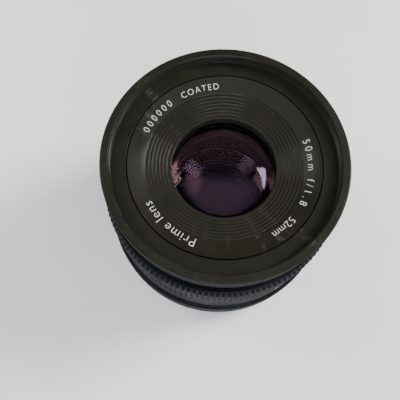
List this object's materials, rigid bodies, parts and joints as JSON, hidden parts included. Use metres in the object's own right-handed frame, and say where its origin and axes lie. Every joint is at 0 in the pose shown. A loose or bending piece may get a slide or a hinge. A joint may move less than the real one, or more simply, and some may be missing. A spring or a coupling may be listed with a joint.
{
  "type": "prime camera lens",
  "caption": "Manual prime camera lens with a knurled aperture ring, a fluted focus ring and a bayonet mount.",
  "frame": {"origin": "bottom centre of the lens, on the rear face of the bayonet, with the optical axis through it", "axes": "+Z along the optical axis towards the front rim, +Y towards the index dot, +X to the right seen from the front with +Y up"},
  "size_m": [0.0602, 0.0602, 0.047],
  "materials": {
    "black_anodised": "satin black anodised aluminium",
    "matt_black": "matt black anodised aluminium",
    "chromed_brass": "satin chrome on brass",
    "brass": "machined brass",
    "steel": "turned steel",
    "blade_steel": "blackened spring steel",
    "coated_glass": "multi-coated optical glass",
    "red_enamel": "red enamel fill",
    "white_enamel": "white enamel fill of the engraved numbers"
  },
  "bodies": {
    "mount_body": {"mount_plate": "chromed_brass", "mount_screw_1": "steel", "mount_screw_2": "steel", "mount_screw_3": "steel", "mount_screw_4": "steel", "rear_barrel": "black_anodised", "guide_tube": "matt_black", "guide_key_1": "brass", "guide_key_2": "brass", "guide_key_screw_1": "steel", "guide_key_screw_2": "steel", "focus_stop_pin": "steel", "light_baffle": "matt_black", "helicoid_retainer": "brass", "mount_index_dot": "red_enamel"},
    "focus": {"focus_ring": "black_anodised", "focus_helicoid": "brass", "focus_set_screw_1": "steel", "focus_set_screw_2": "steel", "focus_set_screw_3": "steel"},
    "optical_block": {"block_barrel": "black_anodised", "filter_ring": "black_anodised", "name_ring": "black_anodised", "front_cell": "matt_black", "lens_1_retainer": "matt_black", "lens_1_front": "coated_glass", "lens_2": "coated_glass", "lens_3": "coated_glass", "front_spacer": "brass", "iris_housing": "matt_black", "rear_cell": "matt_black", "lens_4": "coated_glass", "lens_5": "coated_glass", "lens_6_rear": "coated_glass", "rear_spacer": "brass", "rear_retainer": "matt_black"},
    "aperture": {"aperture_ring": "black_anodised", "iris_cam_ring": "brass", "aperture_drive_screw": "steel"},
    "blade_01": {"iris_blade_01": "blade_steel"},
    "blade_02": {"iris_blade_02": "blade_steel"},
    "blade_03": {"iris_blade_03": "blade_steel"},
    "blade_04": {"iris_blade_04": "blade_steel"},
    "blade_05": {"iris_blade_05": "blade_steel"},
    "blade_06": {"iris_blade_06": "blade_steel"},
    "blade_07": {"iris_blade_07": "blade_steel"},
    "blade_08": {"iris_blade_08": "blade_steel"},
    "blade_09": {"iris_blade_09": "blade_steel"},
    "blade_10": {"iris_blade_10": "blade_steel"},
    "blade_11": {"iris_blade_11": "blade_steel"},
    "blade_12": {"iris_blade_12": "blade_steel"}
  },
  "joints": [
    {"name": "focus_turn", "type": "hinge", "parent": "mount_body", "child": "focus", "pos_m": [0, 0, 0.02], "axis": [0, 0, 1], "range_deg": [0, 150]},
    {"name": "block_slide", "type": "slide", "parent": "mount_body", "child": "optical_block", "axis": [0, 0, 1], "range_m": [0, 0.00635]},
    {"name": "aperture_turn", "type": "hinge", "parent": "optical_block", "child": "aperture", "pos_m": [0, 0, 0.0362], "axis": [0, 0, 1], "range_deg": [0, 60]},
    {"name": "blade_swing_01", "type": "hinge", "parent": "optical_block", "child": "blade_01", "pos_m": [0.0152, 0, 0.0236], "axis": [0, 0, 1], "range_deg": [0, 36.8]},
    {"name": "blade_swing_02", "type": "hinge", "parent": "optical_block", "child": "blade_02", "pos_m": [0.01316, 0.0076, 0.0236], "axis": [0, 0, 1], "range_deg": [0, 36.8]},
    {"name": "blade_swing_03", "type": "hinge", "parent": "optical_block", "child": "blade_03", "pos_m": [0.0076, 0.01316, 0.0236], "axis": [0, 0, 1], "range_deg": [0, 36.8]},
    {"name": "blade_swing_04", "type": "hinge", "parent": "optical_block", "child": "blade_04", "pos_m": [0, 0.0152, 0.0236], "axis": [0, 0, 1], "range_deg": [0, 36.8]},
    {"name": "blade_swing_05", "type": "hinge", "parent": "optical_block", "child": "blade_05", "pos_m": [-0.0076, 0.01316, 0.0236], "axis": [0, 0, 1], "range_deg": [0, 36.8]},
    {"name": "blade_swing_06", "type": "hinge", "parent": "optical_block", "child": "blade_06", "pos_m": [-0.01316, 0.0076, 0.0236], "axis": [0, 0, 1], "range_deg": [0, 36.8]},
    {"name": "blade_swing_07", "type": "hinge", "parent": "optical_block", "child": "blade_07", "pos_m": [-0.0152, 0, 0.0236], "axis": [0, 0, 1], "range_deg": [0, 36.8]},
    {"name": "blade_swing_08", "type": "hinge", "parent": "optical_block", "child": "blade_08", "pos_m": [-0.01316, -0.0076, 0.0236], "axis": [0, 0, 1], "range_deg": [0, 36.8]},
    {"name": "blade_swing_09", "type": "hinge", "parent": "optical_block", "child": "blade_09", "pos_m": [-0.0076, -0.01316, 0.0236], "axis": [0, 0, 1], "range_deg": [0, 36.8]},
    {"name": "blade_swing_10", "type": "hinge", "parent": "optical_block", "child": "blade_10", "pos_m": [0, -0.0152, 0.0236], "axis": [0, 0, 1], "range_deg": [0, 36.8]},
    {"name": "blade_swing_11", "type": "hinge", "parent": "optical_block", "child": "blade_11", "pos_m": [0.0076, -0.01316, 0.0236], "axis": [0, 0, 1], "range_deg": [0, 36.8]},
    {"name": "blade_swing_12", "type": "hinge", "parent": "optical_block", "child": "blade_12", "pos_m": [0.01316, -0.0076, 0.0236], "axis": [0, 0, 1], "range_deg": [0, 36.8]}
  ],
  "couplings": [
    {"joint": "block_slide", "follows": "focus_turn", "m_per_rad": 0.0024255},
    {"joint": "blade_swing_01", "follows": "aperture_turn", "ratio": 0.61333},
    {"joint": "blade_swing_02", "follows": "aperture_turn", "ratio": 0.61333},
    {"joint": "blade_swing_03", "follows": "aperture_turn", "ratio": 0.61333},
    {"joint": "blade_swing_04", "follows": "aperture_turn", "ratio": 0.61333},
    {"joint": "blade_swing_05", "follows": "aperture_turn", "ratio": 0.61333},
    {"joint": "blade_swing_06", "follows": "aperture_turn", "ratio": 0.61333},
    {"joint": "blade_swing_07", "follows": "aperture_turn", "ratio": 0.61333},
    {"joint": "blade_swing_08", "follows": "aperture_turn", "ratio": 0.61333},
    {"joint": "blade_swing_09", "follows": "aperture_turn", "ratio": 0.61333},
    {"joint": "blade_swing_10", "follows": "aperture_turn", "ratio": 0.61333},
    {"joint": "blade_swing_11", "follows": "aperture_turn", "ratio": 0.61333},
    {"joint": "blade_swing_12", "follows": "aperture_turn", "ratio": 0.61333}
  ]
}
